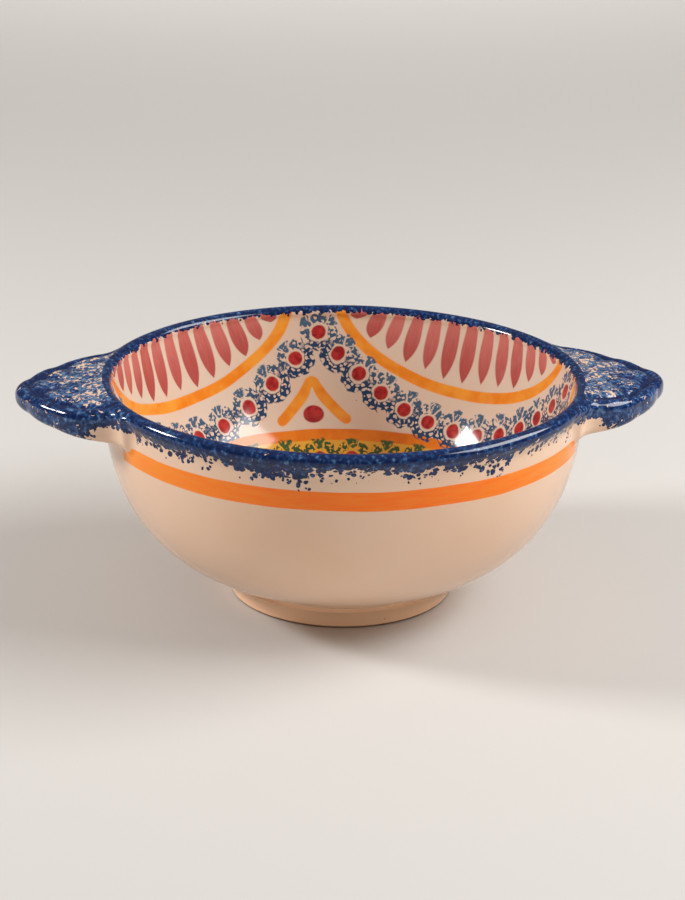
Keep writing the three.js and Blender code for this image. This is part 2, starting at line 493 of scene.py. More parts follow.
def outer_wall():
    """From the underside of the lip down to the heel."""
    heel = np.array((HEEL_RADIUS, FOOT_HEIGHT + HEEL_LIFT))
    wall_top = np.array((RIM_RADIUS - LIP_FLARE, BOWL_HEIGHT - FLARE_HEIGHT))
    lip_end = lip_point(-LIP_UNDERCUT)
    up = np.array((0, 1))
    handle = (lip_end[1] - wall_top[1]) / 3
    lip_handle = lip_end - handle * heading(math.pi / 2 - LIP_UNDERCUT)
    flare = bezier(lip_end, lip_handle, wall_top + handle * up, wall_top, FLARE_STEPS)
    heel_handle = heel + HEEL_FULLNESS * heading(HEEL_SLOPE)
    belly = bezier(wall_top, wall_top - BELLY_FULLNESS * up, heel_handle, heel, BELLY_STEPS)
    return joined(flare, belly)


def bowl_profile():
    """Radius and height from the middle of the floor, over the lip, to the middle of the underside."""
    inside = inner_wall()
    outside = outer_wall()
    neck = np.array((NECK_RADIUS, FOOT_HEIGHT))
    floor = np.linspace((0, FOOT_HEIGHT + FLOOR_THICKNESS), inside[0], FLOOR_STEPS + 1)
    underside = np.linspace(neck, (0, FOOT_HEIGHT), FLOOR_STEPS + 1)
    return joined(floor, inside, lip(), outside, np.array((outside[-1], neck)), underside)


def arc_lengths(profile):
    steps = np.hypot(*np.diff(profile, axis=0).T)
    return np.concatenate(((0,), np.cumsum(steps)))


def foot_profile():
    """Closed section of the foot: down from a turned groove, in along the bottom, up and out again."""
    brim = FOOT_RADIUS + FOOT_FLARE
    neck = brim - HEEL_GROOVE
    bead = FOOT_HEIGHT - BEAD_DROP
    groove = bezier(
        np.array((neck, FOOT_HEIGHT)),
        np.array((neck, bead + BEAD_DROP / 3)),
        np.array((brim, bead + BEAD_DROP / 3)),
        np.array((brim, bead)),
        CORNER_STEPS,
    )
    right_angle = math.pi / 2
    ridge = rounding((brim, bead - HEEL_BEAD), HEEL_BEAD, right_angle, -right_angle, CORNER_STEPS)

    def corner(radius, start):
        return rounding((radius, FOOT_EDGE), FOOT_EDGE, start, start - right_angle, CORNER_STEPS)

    outside = corner(FOOT_RADIUS - FOOT_EDGE, 0)
    inside = corner(FOOT_INSIDE + FOOT_EDGE, -right_angle)
    return np.vstack((groove, ridge, outside, inside, (FOOT_INSIDE, FOOT_HEIGHT)))


def mesh_object(name, vertices, faces):
    """A smooth object in the scene, from vertices in millimetres."""
    mesh = bpy.data.meshes.new(name)
    mesh.from_pydata((np.asarray(vertices) * MM).tolist(), [], faces)
    mesh.shade_smooth()
    mesh.update()
    piece = bpy.data.objects.new(name, mesh)
    bpy.context.scene.collection.objects.link(piece)
    return piece


def set_attribute(piece, name, values):
    """A number for each vertex, for the piece's coat to read."""
    attribute = piece.data.attributes.new(name, "FLOAT", "POINT")
    attribute.data.foreach_set("value", np.asarray(values, np.float32))


def turned_rings(profile, sides):
    """Vertices of a profile turned about Z, and a table of their numbers that closes each ring."""
    angles = np.arange(sides) * 2 * math.pi / sides
    radius, height = profile[:, :1], profile[:, 1:]
    grid = np.stack((radius * np.cos(angles), radius * np.sin(angles), height + 0 * angles), axis=-1)
    index = np.arange(len(profile) * sides).reshape(len(profile), sides)
    return grid.reshape(-1, 3), np.hstack((index, index[:, :1]))


def between_rings(index):
    """Quads between neighbouring rows of a table of vertex numbers."""
    quads = np.stack((index[:-1, :-1], index[1:, :-1], index[1:, 1:], index[:-1, 1:]), axis=-1)
    return quads.reshape(-1, 4).tolist()


def fan(centre, starts, ends):
    """Triangles from one vertex to the sides of a ring."""
    return [(centre, a, b) for a, b in zip(starts.tolist(), ends.tolist())]


def turned(name, profile, loop):
    """A profile turned about Z, either a closed loop or one that starts and ends on the axis."""
    vertices, index = turned_rings(profile if loop else profile[1:-1], SEGMENTS)
    if loop:
        return mesh_object(name, vertices, between_rings(np.vstack((index, index[:1]))))
    first, last = len(vertices), len(vertices) + 1
    vertices = np.vstack((vertices, (0, 0, profile[0, 1]), (0, 0, profile[-1, 1])))
    middle = fan(first, index[0, :-1], index[0, 1:])
    underside = fan(last, index[-1, 1:], index[-1, :-1])
    return mesh_object(name, vertices, between_rings(index) + middle + underside)


def nearest(points, line):
    """Distance from each point to a polyline in the plane."""
    best = np.full(len(points), np.inf)
    for start, end in zip(line[:-1], line[1:]):
        along = end - start
        share = np.clip((points - start) @ along / (along @ along), 0, 1)
        best = np.minimum(best, np.hypot(*(points - start - share[:, None] * along).T))
    return best


def scallop(start, end, bulge):
    """A parabola over the chord from start to end, bulging to its right."""
    start, end = np.array(start), np.array(end)
    chord = end - start
    outward = np.array((chord[1], -chord[0])) / np.hypot(*chord)
    t = np.linspace(0, 1, SCALLOP_STEPS + 1)[:, None]
    return start + t * chord + 4 * bulge * t * (1 - t) * outward


def lug_outline():
    """Plan of the lug on +X, anticlockwise, closed inside the wall."""
    shoulder, side_notch, tip_notch = LUG_POINTS
    tip_low = (tip_notch[0], -tip_notch[1])
    upper = joined(
        scallop(tip_notch, side_notch, SCALLOP_BULGES[1]),
        scallop(side_notch, shoulder, SCALLOP_BULGES[0]),
        scallop(shoulder, LUG_ROOT, -ROOT_COVE),
        np.array((LUG_ROOT, (LUG_BACK, LUG_ROOT[1]))),
    )
    lower = upper[::-1] * (1, -1)
    tip = scallop(tip_low, tip_notch, LUG_TIP - tip_notch[0])
    return joined(lower, tip, upper, np.array((upper[-1], lower[0])))


def smooth_step(low, high, value):
    """0 at low and 1 at high, eased at both ends."""
    t = np.clip((value - low) / (high - low), 0, 1)
    return t * t * (3 - 2 * t)


def softened(table, passes):
    """A table blended with its neighbours along one axis and then the other, in each pass."""
    for _ in range(2 * passes):
        padded = np.pad(table, ((1, 1), (0, 0)), mode="edge")
        table = ((padded[:-2] + 2 * table + padded[2:]) / 4).T
    return table


def in_outline(points, outline):
    """Whether each point lies in the closed outline, by crossings to its right."""
    inside = np.zeros(len(points), bool)
    for (x0, y0), (x1, y1) in zip(outline[:-1], outline[1:]):
        spans = (y0 > points[:, 1]) != (y1 > points[:, 1])
        with np.errstate(divide="ignore", invalid="ignore"):
            reach = x0 + (points[:, 1] - y0) * (x1 - x0) / (y1 - y0)
        inside ^= spans & (points[:, 0] < reach)
    return inside


def lug_edge(x, y):
    """Distance in plan from the lug's outline, negative inside it."""
    plan = np.stack((x, y), axis=-1)
    outline = lug_outline()
    return np.where(in_outline(plan, outline), -1, 1) * nearest(plan, outline)


def lug_field_rise(inset):
    return FIELD_RISE * smooth_step(GROOVE_INSET, FIELD_INSET, inset)


def lug_relief(x, y, inset):
    """Height of the moulded face over the lug's border, from how far in from the outline it lies."""
    groove = -GROOVE_DEPTH * np.exp(-((inset - GROOVE_INSET) / GROOVE_WIDTH) ** 2)
    bearing = np.arctan2(np.abs(y), x - FLUTE_FOCUS)
    twist = FLUTE_TWIST * np.maximum(inset - GROOVE_INSET, 0)
    flutes = 0
    for px, py in LUG_POINTS[1:]:
        notch = math.atan2(py, px - FLUTE_FOCUS)
        flutes = flutes + np.exp(-((bearing - notch + twist) / FLUTE_WIDTH) ** 2)
    fade = smooth_step(FLUTE_START, BORDER_INSET, inset) * (1 - smooth_step(FIELD_INSET, FLUTE_REACH, inset))
    return groove + lug_field_rise(inset) - FLUTE_DEPTH * flutes * fade


def lug_hollow(points, inset):
    """How deep in a groove or flute of the face each point lies, for the colour that pools there."""
    return np.clip(lug_field_rise(inset) - lug_relief(points[:, 0], points[:, 1], inset), 0, 1)


def lug_distance(x, y, z):
    """Signed distance, roughly, to a lug by itself."""
    edge = softened(lug_edge(x.ravel(), y.ravel()).reshape(x.shape), EDGE_PASSES)
    root = ROOT_RISE * (1 - smooth_step(RIM_RADIUS, RISE_START, np.hypot(x, y)))
    top = LUG_TOP + lug_relief(x, y, -edge) + root
    bottom = LUG_TOP - LUG_THICKNESS - LUG_TAPER * (LUG_TIP - x)
    across = edge[..., None] + EDGE_RADIUS
    level = np.maximum(z - top[..., None], bottom[..., None] - z) + EDGE_RADIUS
    inner = np.minimum(np.maximum(across, level), 0) - EDGE_RADIUS
    return inner + np.hypot(np.maximum(across, 0), np.maximum(level, 0))


def wall_distance(axes, out):
    """Signed distance to the bowl's outer skin, read from a table over radius and height."""
    skin = joined(lip(math.pi / 2), outer_wall())
    solid = np.vstack((skin, (0, FOOT_HEIGHT), (0, BOWL_HEIGHT), skin[:1]))
    farthest = math.hypot(axes[0][-1], axes[1][-1])
    radii = np.arange(axes[0][0] - SECTION_MARGIN, farthest + SECTION_MARGIN, GRID_STEP)
    section = np.stack([a.ravel() for a in np.meshgrid(radii, axes[2], indexing="ij")], axis=-1)
    side = np.where(in_outline(section, solid), -1, 1)
    table = (side * nearest(section, skin)).reshape(len(radii), len(axes[2]))
    place = (out - radii[0]) / GRID_STEP
    low = place.astype(int)
    share = (place - low)[..., None]
    return (1 - share) * table[low] + share * table[low + 1]


def lug_field(axes):
    """Signed distance, roughly, to the lug with its fillets, over a grid."""
    x, y = np.meshgrid(axes[0], axes[1], indexing="ij")
    z = axes[2][None, None, :]
    out = np.hypot(x, y)
    lug = lug_distance(x, y, z)
    wall = wall_distance(axes, out)
    fillet = UNDER_FILLET + (TOP_FILLET - UNDER_FILLET) * smooth_step(FILLET_LOW, FILLET_HIGH, z)
    fillet = fillet * (1 - CROWN_EASE * smooth_step(LUG_TOP, BOWL_HEIGHT, z))
    blend = np.maximum(fillet - np.abs(lug - wall), 0) / fillet
    luted = np.minimum(lug, wall) - blend ** 2 * fillet / 4 + TUCK
    patch = np.maximum(-(wall + SINK), lug - fillet - PATCH_MARGIN)
    over_crown = np.where(z > LUG_TOP - LIP_RADIUS, lip_centre[0] - out[..., None], -np.inf)
    above_lip = np.broadcast_to(z - BOWL_HEIGHT, wall.shape)
    return np.maximum.reduce((luted, patch, over_crown, above_lip))


def surface_net(field, axes):
    """Closed quads on the zero level of a field sampled on a grid, negative inside."""
    cells = tuple(n - 1 for n in field.shape)
    total, hits = np.zeros(cells + (3,)), np.zeros(cells)
    places = np.stack(np.meshgrid(*[np.arange(n) for n in cells], indexing="ij"), axis=-1)
    orders = [(a, (a + 1) % 3, (a + 2) % 3) for a in range(3)]
    for order in orders:
        f = field.transpose(order)
        near, far = f[:-1], f[1:]
        crossed = (near < 0) != (far < 0)
        share = np.where(crossed, near / np.where(crossed, near - far, 1), 0)
        back = np.argsort(order)
        for j in (0, 1):
            for k in (0, 1):
                window = (slice(None), slice(j, j + f.shape[1] - 1), slice(k, k + f.shape[2] - 1))
                met = crossed[window].transpose(back)
                offset = np.zeros(cells + (3,))
                offset[..., order[0]] = share[window].transpose(back)
                offset[..., order[1]] = j
                offset[..., order[2]] = k
                total += np.where(met[..., None], places + offset, 0)
                hits += met
    used = hits > 0
    index = np.full(cells, -1)
    index[used] = np.arange(used.sum())
    steps = total[used] / hits[used][:, None]
    vertices = steps * GRID_STEP + [a[0] for a in axes]
    quads = []
    for order in orders:
        f, ids = field.transpose(order), index.transpose(order)
        crossed = (f[:-1] < 0) != (f[1:] < 0)
        i, j, k = np.nonzero(crossed[:, 1:-1, 1:-1])
        j, k = j + 1, k + 1
        corners = (ids[i, j - 1, k - 1], ids[i, j, k - 1], ids[i, j, k], ids[i, j - 1, k])
        ring = np.stack(corners, axis=-1)
        outward = f[i, j, k] < 0
        quads.append(np.where(outward[:, None], ring, ring[:, ::-1]))
    return vertices, np.vstack(quads)


def relaxed(vertices, quads, passes):
    """Vertices moved towards the mean of their neighbours, to take the grid's steps out."""
    starts = quads.ravel()
    ends = np.roll(quads, -1, axis=1).ravel()
    count = np.bincount(starts, minlength=len(vertices))[:, None]
    for _ in range(passes):
        mean = np.stack([np.bincount(starts, vertices[ends, a], len(vertices)) for a in range(3)], axis=-1)
        vertices = (vertices + mean / count) / 2
    return vertices


def lug_mesh():
    aside = LUG_ROOT[1] + GRID_ASIDE
    axes = (
        np.arange(LUG_BACK, LUG_TIP + 2 * GRID_STEP, GRID_STEP),
        np.arange(-aside, aside + GRID_STEP, GRID_STEP),
        np.arange(GRID_BOTTOM, BOWL_HEIGHT + 2 * GRID_STEP, GRID_STEP),
    )
    vertices, quads = surface_net(lug_field(axes), axes)
    return relaxed(vertices, quads, RELAX_PASSES), quads.tolist()


# Materials

def math_method(operation):
    """The method of a field for one operation of a math node."""
    def method(field, *others):
        return field.nodes.math(operation, field, *others)
    return method


class Field:
    """A number that varies over a surface, as a socket among nodes, with the usual arithmetic."""

    def __init__(self, nodes, socket):
        self.nodes = nodes
        self.socket = socket

    def __rsub__(self, other):
        return self.nodes.math("SUBTRACT", other, self)

    __add__ = __radd__ = math_method("ADD")
    __sub__ = math_method("SUBTRACT")
    __mul__ = __rmul__ = math_method("MULTIPLY")
    __truediv__ = math_method("DIVIDE")
    __pow__ = math_method("POWER")
    __abs__ = math_method("ABSOLUTE")


class Nodes:
    """The nodes of a material or a lamp, each added with what feeds it."""

    def __init__(self, tree):
        self.tree = tree

    def feed(self, socket, value):
        """Link a field or socket to a socket, or set a plain value on it."""
        if isinstance(value, Field):
            value = value.socket
        if isinstance(value, bpy.types.NodeSocket):
            self.tree.links.new(value, socket)
        else:
            socket.default_value = value

    def add(self, kind, inputs=(), **settings):
        """A new node with its settings and its first inputs."""
        node = self.tree.nodes.new(kind)
        for name, setting in settings.items():
            setattr(node, name, setting)
        for socket, value in zip(node.inputs, inputs):
            self.feed(socket, value)
        return node

    def parts(self, vector):
        return [Field(self, s) for s in self.add("ShaderNodeSeparateXYZ", (vector,)).outputs]

    def math(self, operation, *values):
        return Field(self, self.add("ShaderNodeMath", values, operation=operation).outputs[0])

    def most(self, first, *others):
        for other in others:
            first = self.math("MAXIMUM", first, other)
        return first

    def hypot(self, a, b):
        return self.math("SQRT", a * a + b * b)

    def ramp(self, value, low, high):
        """0 at low and 1 at high, eased at both ends; high may lie under low."""
        node = self.add("ShaderNodeMapRange", (value, low, high, 0.0, 1.0), interpolation_type="SMOOTHSTEP")
        return Field(self, node.outputs[0])

    def within(self, distance, softness=PAINT_SOFT):
        """1 inside an edge, from the signed distance to it."""
        return self.ramp(distance, softness, -softness)

    def pick(self, share, a, b):
        """A field that goes from a to b as share goes from 0 to 1."""
        return a + (b - a) * share


class Coat(Nodes):
    """A material painted in layers over a ground colour, on a surface measured in millimetres."""

    def __init__(self, name, ground):
        self.material = bpy.data.materials.new(name)
        self.material.use_nodes = True
        super().__init__(self.material.node_tree)
        self.shader = self.tree.nodes["Principled BSDF"]
        self.colour = ground
        local = self.add("ShaderNodeTexCoord").outputs["Object"]
        scaled = self.add("ShaderNodeVectorMath", (local,), operation="SCALE")
        scaled.inputs["Scale"].default_value = 1 / MM
        self.point = scaled.outputs["Vector"]
        self.x, self.y, self.z = self.parts(self.point)

    def from_axis(self):
        return self.hypot(self.x, self.y)

    def bearing(self):
        """Degrees round the axis from +X."""
        return self.math("ARCTAN2", self.y, self.x) * (1 / DEGREE)

    def attribute(self, name):
        return Field(self, self.add("ShaderNodeAttribute", attribute_name=name).outputs["Fac"])

    def vector(self, x, y, z):
        return self.add("ShaderNodeCombineXYZ", (x, y, z)).outputs[0]

    def noise(self, size, detail=1.0, roughness=0.5, seed=0.0, at=None):
        """Smooth noise about 0.5, with lumps of that size in millimetres."""
        place = self.point if at is None else at
        inputs = (place, seed, 1 / size, detail, roughness)
        node = self.add("ShaderNodeTexNoise", inputs, noise_dimensions="4D")
        return Field(self, node.outputs["Fac"])

    def fine_noise(self, size, seed, at=None):
        """The same with smaller lumps on the large ones."""
        return self.noise(size, 2.0, 0.6, seed, at)

    def sway(self, size, seed):
        """Smooth noise about 0."""
        return self.noise(size, seed=seed) - 0.5

    def cells(self, spacing, seed):
        """Distance to the middle of the nearest cell of a loose grid, and a random number for that cell."""
        node = self.add("ShaderNodeTexVoronoi", voronoi_dimensions="3D")
        shift = self.add("ShaderNodeVectorMath", (self.point, (seed, seed, seed)), operation="ADD")
        self.feed(node.inputs["Vector"], shift.outputs["Vector"])
        node.inputs["Scale"].default_value = 1 / spacing
        luck = self.add("ShaderNodeSeparateColor", (node.outputs["Color"],)).outputs[0]
        return Field(self, node.outputs["Distance"]) * spacing, Field(self, luck)

    def spots(self, spacing, radius, share, seed):
        """Round spots, in that share of the cells of a loose grid."""
        near, luck = self.cells(spacing, seed)
        return self.within(near - radius, radius / 2) * self.within(luck - share, LUCK_EDGE)

    def chance(self, a, b):
        """A random number from 0 to 1 for each pair of whole numbers."""
        node = self.add("ShaderNodeTexWhiteNoise", (self.vector(a, b, 0.0),), noise_dimensions="3D")
        return Field(self, node.outputs["Value"])

    def mixed(self, share, a, b):
        """A colour that goes from a to b as share goes from 0 to 1."""
        node = self.add("ShaderNodeMix", data_type="RGBA")
        for number, value in zip(MIX_INPUTS, (share, a, b)):
            self.feed(node.inputs[number], value)
        return node.outputs[MIX_RESULT]

    def mottled_red(self, size, seed):
        return self.mixed(self.ramp(self.fine_noise(size, seed), *MOTTLE_RANGE), RED, RED_DEEP)

    def paint(self, colour, mask):
        self.colour = self.mixed(mask, self.colour, colour)

    def glaze(self, roughness=GLAZE_ROUGHNESS, rippled=True):
        """Gloss over the painting, with slight ripples if wanted; it ends the coat."""
        self.feed(self.shader.inputs["Base Color"], self.colour)
        self.feed(self.shader.inputs["Roughness"], roughness)
        self.shader.inputs["IOR"].default_value = GLAZE_IOR
        if rippled:
            bump = self.add("ShaderNodeBump")
            bump.inputs["Strength"].default_value = 1.0
            bump.inputs["Distance"].default_value = RIPPLE_DEPTH * MM
            self.feed(bump.inputs["Height"], self.noise(RIPPLE_SIZE, seed=91))
            self.feed(self.shader.inputs["Normal"], bump.outputs[0])
        return self.material


def buff_ground(coat):
    """The pinkish body colour, a little uneven, with pinholes and specks."""
    clouds = coat.ramp(coat.fine_noise(CLOUD_SIZE, seed=3), *CLOUD_RANGE)
    coat.paint(BUFF_DEEP, clouds * CLOUD_STRENGTH)
    for spacing, radius, share, strength, seed in SPECKS:
        coat.paint(SPECK, coat.spots(spacing, radius, share, seed) * strength)


def sponge(coat, cover, wash=0.0, dab=SPONGE_DAB):
    """Cobalt dabbed on with a sponge: stray dots where cover is near 0, a mottled coat where it is 1."""
    near, luck = coat.cells(dab, seed=11)
    grain = coat.sway(dab * SPONGE_GRAIN, seed=12)
    depth = cover - near * (SPONGE_REACH / dab) - (luck - 0.5) * SPONGE_LUCK - grain * SPONGE_RAGGED
    tone = coat.fine_noise(SPONGE_TONE, seed=13) + coat.ramp(depth, 0.0, COAT_DEPTH) * COAT_TONE + wash
    ink = coat.mixed(coat.ramp(tone, *COBALT_RANGE), COBALT_DARK, COBALT)
    ink = coat.mixed(coat.ramp(tone, *LIGHT_RANGE), ink, COBALT_LIGHT)
    coat.paint(ink, coat.ramp(depth, -SPONGE_EDGE, SPONGE_EDGE))


def lip_cover(coat, down, fades):
    """Cover of the sponge on the lip, full at its top and less by each fade."""
    cover = LIP_COVER
    for start, end, loss in fades:
        cover = cover - coat.ramp(down, start, end) * loss
    return cover


def quarter_swing(coat, bearing):
    """Bearing from the middle of its own quarter of the bowl."""
    return (coat.math("FRACT", bearing / QUARTER) - 0.5) * QUARTER


def stamp(coat, across, up, dark, pale):
    """One dab of the shaped sponge: lace below and a fan above, about a red dot."""
    warp_x = coat.sway(DAB_WARP_SIZE, seed=31)
    warp_y = coat.sway(DAB_WARP_SIZE, seed=32)
    grain = coat.sway(DAB_GRAIN, seed=33)
    px = across + warp_x * DAB_WARP
    py = up + warp_y * DAB_WARP
    span = coat.hypot(px, py)
    turn = coat.math("ARCTAN2", px, py)
    upper = coat.math("COSINE", turn)
    side = abs(px) - (py - FAN_FOOT) * FAN_SPREAD

    spokes = abs(coat.math("COSINE", turn * (LACE_HOLES / 2)))
    rows = abs(coat.math("SINE", (span - LACE_INNER) / LACE_ROW * math.pi))
    lobes = coat.math("COSINE", turn * LACE_LOBES) * LOBE_DEPTH
    ring = coat.within(span - lobes - LACE_OUTER) * coat.within(LACE_INNER - span)
    strands = coat.within(spokes * rows + grain * STRAND_GRAIN - STRAND_LEVEL, DAB_SOFT)
    dashes = coat.ramp(grain, *DASH_RANGE)
    lace = ring * coat.pick(coat.ramp(upper, *LACE_TURN), strands, dashes)
    ink = coat.mixed(coat.ramp(upper, *LACE_DARK), pale, dark)
    coat.paint(ink, lace * coat.ramp(side, *FAN_EDGE))

    ridges = coat.math("SINE", px * HATCH_ACROSS + py * HATCH_UP)
    hatch = coat.within(ridges * HATCH_DEPTH + grain * HATCH_GRAIN - HATCH_LEVEL, DAB_SOFT)
    clear = coat.within(DOT_RADIUS + FAN_GAP - span)
    coat.paint(pale, coat.within(side) * coat.within(span - FAN_TOP) * clear * hatch)

    dot = coat.hypot(across + warp_x * DOT_WARP, up * DOT_SQUASH + warp_y * DOT_WARP) - DOT_RADIUS
    coat.paint(coat.mottled_red(DOT_MOTTLE, seed=34), coat.within(dot))


def chain_centres(radius_at, steps):
    """Bearings and arcs of dabs up half a swag; with fewer steps the last one repeats."""
    swing = np.linspace(0, QUARTER / 2, CHAIN_SAMPLES)
    arc = CHAIN_LOW + CHAIN_RISE * (swing / (QUARTER / 2)) ** CHAIN_POWER
    along = np.hypot(np.diff(swing) * DEGREE * radius_at(arc[1:]), np.diff(arc))
    run = np.concatenate(((0,), np.cumsum(along)))
    marks = np.minimum(np.arange(CHAIN_STEPS + 1) / steps, 1) * run[-1]
    return np.interp(marks, run, swing).tolist(), np.interp(marks, run, arc).tolist()


def paint_rings(coat, arc, streak):
    """Yellow band between two orange rings."""
    half = (OUTER_RING_ARC - INNER_RING_ARC) / 2
    middle = (OUTER_RING_ARC + INNER_RING_ARC) / 2
    coat.paint(YELLOW, coat.within(abs(arc - middle) - half))
    # The rings' orange is deeper than the swags', partly as painted shade
    orange = coat.mixed(streak, AMBER_DEEP, SHADED_RING_DEEP)
    for ring in (OUTER_RING_ARC, INNER_RING_ARC):
        coat.paint(orange, coat.within(abs(arc - ring) - RING_WIDTH / 2))


def paint_garland(coat, bearing, arc, radius):
    """Green dabs round the yellow band."""
    step = 4 * QUARTER / GARLAND_COUNT
    offset = coat.math("FRACT", bearing / step) - 0.5
    stamp(coat, offset * (step * DEGREE) * radius, arc - GARLAND_ARC, LACE_GREEN, LEAF_GREEN)


def paint_chain(coat, swing, arc, radius, radius_at):
    """Blue dabs along each swag, the closest one chosen for every point; one half swag has fewer."""
    side = coat.math("SIGN", swing)
    back_left = coat.within(coat.x, SHARP) * coat.ramp(coat.y, -SHARP, SHARP)
    sparse = coat.within(swing, SHARP) * back_left
    reach = abs(swing)
    closest, near_across, near_up = FAR, 0.0, 0.0
    for bearing, height, sparse_bearing, sparse_height in zip(
        *chain_centres(radius_at, CHAIN_STEPS), *chain_centres(radius_at, SPARSE_STEPS)
    ):
        across = (reach - coat.pick(sparse, bearing, sparse_bearing)) * DEGREE * radius
        up = arc - coat.pick(sparse, height, sparse_height)
        gap = across * across + up * up
        nearer = coat.math("LESS_THAN", gap, closest)
        near_across = coat.pick(nearer, near_across, across)
        near_up = coat.pick(nearer, near_up, up)
        closest = coat.math("MINIMUM", gap, closest)
    lean = swing * (CHAIN_LEAN * DEGREE)
    cosine, sine = coat.math("COSINE", lean), coat.math("SINE", lean)
    across = near_across * side
    level = across * cosine + near_up * sine
    upright = near_up * cosine - across * sine
    stamp(coat, level, upright, LACE_BLUE, LEAF_BLUE)


def paint_swag(coat, swing, arc, orange):
    """Orange line hanging from the rim in each quarter, an ellipse centred above the rim."""
    half_drop = SWAG_TOP - SWAG_ARC
    u = swing * (DEGREE * SWAG_RADIUS / SWAG_HALF_SPAN)
    v = (SWAG_TOP - arc) / half_drop
    size = coat.hypot(u, v)
    slope = coat.hypot(u / SWAG_HALF_SPAN, v / half_drop) / size
    coat.paint(orange, coat.within(abs((size - 1) / slope) - SWAG_WIDTH / 2))


def paint_petals(coat, bearing, swing, arc):
    """Rose brush strokes hanging from the rim inside each swag, splayed towards its ends."""
    depth = RIM_ARC - arc
    spread = depth * PETAL_SPLAY + 1
    place = swing / spread / PETAL_STEP
    number = coat.math("ROUND", place)
    luck = coat.chance(number, coat.math("FLOOR", bearing / QUARTER))
    turn = number * (PETAL_STEP / PETAL_SPAN)
    room = coat.most(1 - turn * turn, 0.0)
    length = room ** PETAL_ROUND * PETAL_LENGTH * coat.pick(luck, *LENGTH_LUCK)
    t = coat.most(depth, 0.0) / coat.most(length, PETAL_LEAST)
    swell = (1 - t ** PETAL_POINT) * (t * PETAL_SWELL + PETAL_NECK)
    half = swell * coat.pick(luck, *WIDTH_LUCK) * (PETAL_WIDTH / 2)
    across = (place - number) * spread * (PETAL_STEP * DEGREE * SWAG_RADIUS)
    mask = coat.within(abs(across) - half, PETAL_SOFT) * coat.ramp(room, 0.0, PETAL_ROOM)
    hair = across * BRUSH_ACROSS + number * BRUSH_SHIFT
    hairs = coat.vector(hair, depth * BRUSH_ALONG, luck * BRUSH_LUCK)
    brush = coat.fine_noise(1.0, seed=51, at=hairs)
    deep = coat.ramp(brush * DEEP_BRUSH + t * DEEP_TIP + luck * DEEP_LUCK, *DEEP_RANGE)
    coat.paint(coat.mixed(deep, ROSE, ROSE_DEEP), mask * PETAL_COVER)


def paint_chevrons(coat, swing, arc, radius, orange):
    """Orange chevron and red dot where two swags meet."""
    x = (QUARTER / 2 - abs(swing)) * DEGREE * radius
    blunted = coat.hypot(x, CHEVRON_BLUNT)
    share = blunted / CHEVRON_SPAN
    fall = CHEVRON_DROP * CHEVRON_POWER / CHEVRON_SPAN
    line = CHEVRON_TOP - share ** CHEVRON_POWER * CHEVRON_DROP
    slope = share ** (CHEVRON_POWER - 1) * fall * x / blunted
    aside = abs(arc - line) / coat.hypot(slope, 1.0)
    end = arc - (CHEVRON_TOP - CHEVRON_DROP)
    past = coat.ramp(x - CHEVRON_SPAN - end * fall, -CHEVRON_END, CHEVRON_END)
    gap = coat.pick(past, aside, coat.hypot(x - CHEVRON_SPAN, end))
    apex = CHEVRON_TOP - (CHEVRON_BLUNT / CHEVRON_SPAN) ** CHEVRON_POWER * CHEVRON_DROP
    cap = arc - apex + (coat.hypot(x, 1.0) - 1) * CHEVRON_CAP
    coat.paint(orange, coat.within(coat.most(gap, cap) - CHEVRON_WIDTH / 2))
    dot = coat.hypot(x / CHEVRON_DOT[0], (arc - CHEVRON_DOT_ARC) / CHEVRON_DOT[1]) - 1
    coat.paint(coat.mottled_red(CHEVRON_MOTTLE, seed=61), coat.within(dot, CHEVRON_DOT_SOFT))


def almond(coat, x, y, centre, angle, length, width):
    """Mask of a pointed leaf about a centre, lying at an angle to +X."""
    dx, dy = x - centre[0], y - centre[1]
    c, s = math.cos(angle * DEGREE), math.sin(angle * DEGREE)
    along = (dx * c + dy * s) / (length / 2)
    aside = abs(dy * c - dx * s)
    return coat.within(aside - (1 - along * along) * (width / 2), LEAF_SOFT)


def disc(coat, x, y, centre, radius):
    return coat.within(coat.hypot(x - centre[0], y - centre[1]) - radius)


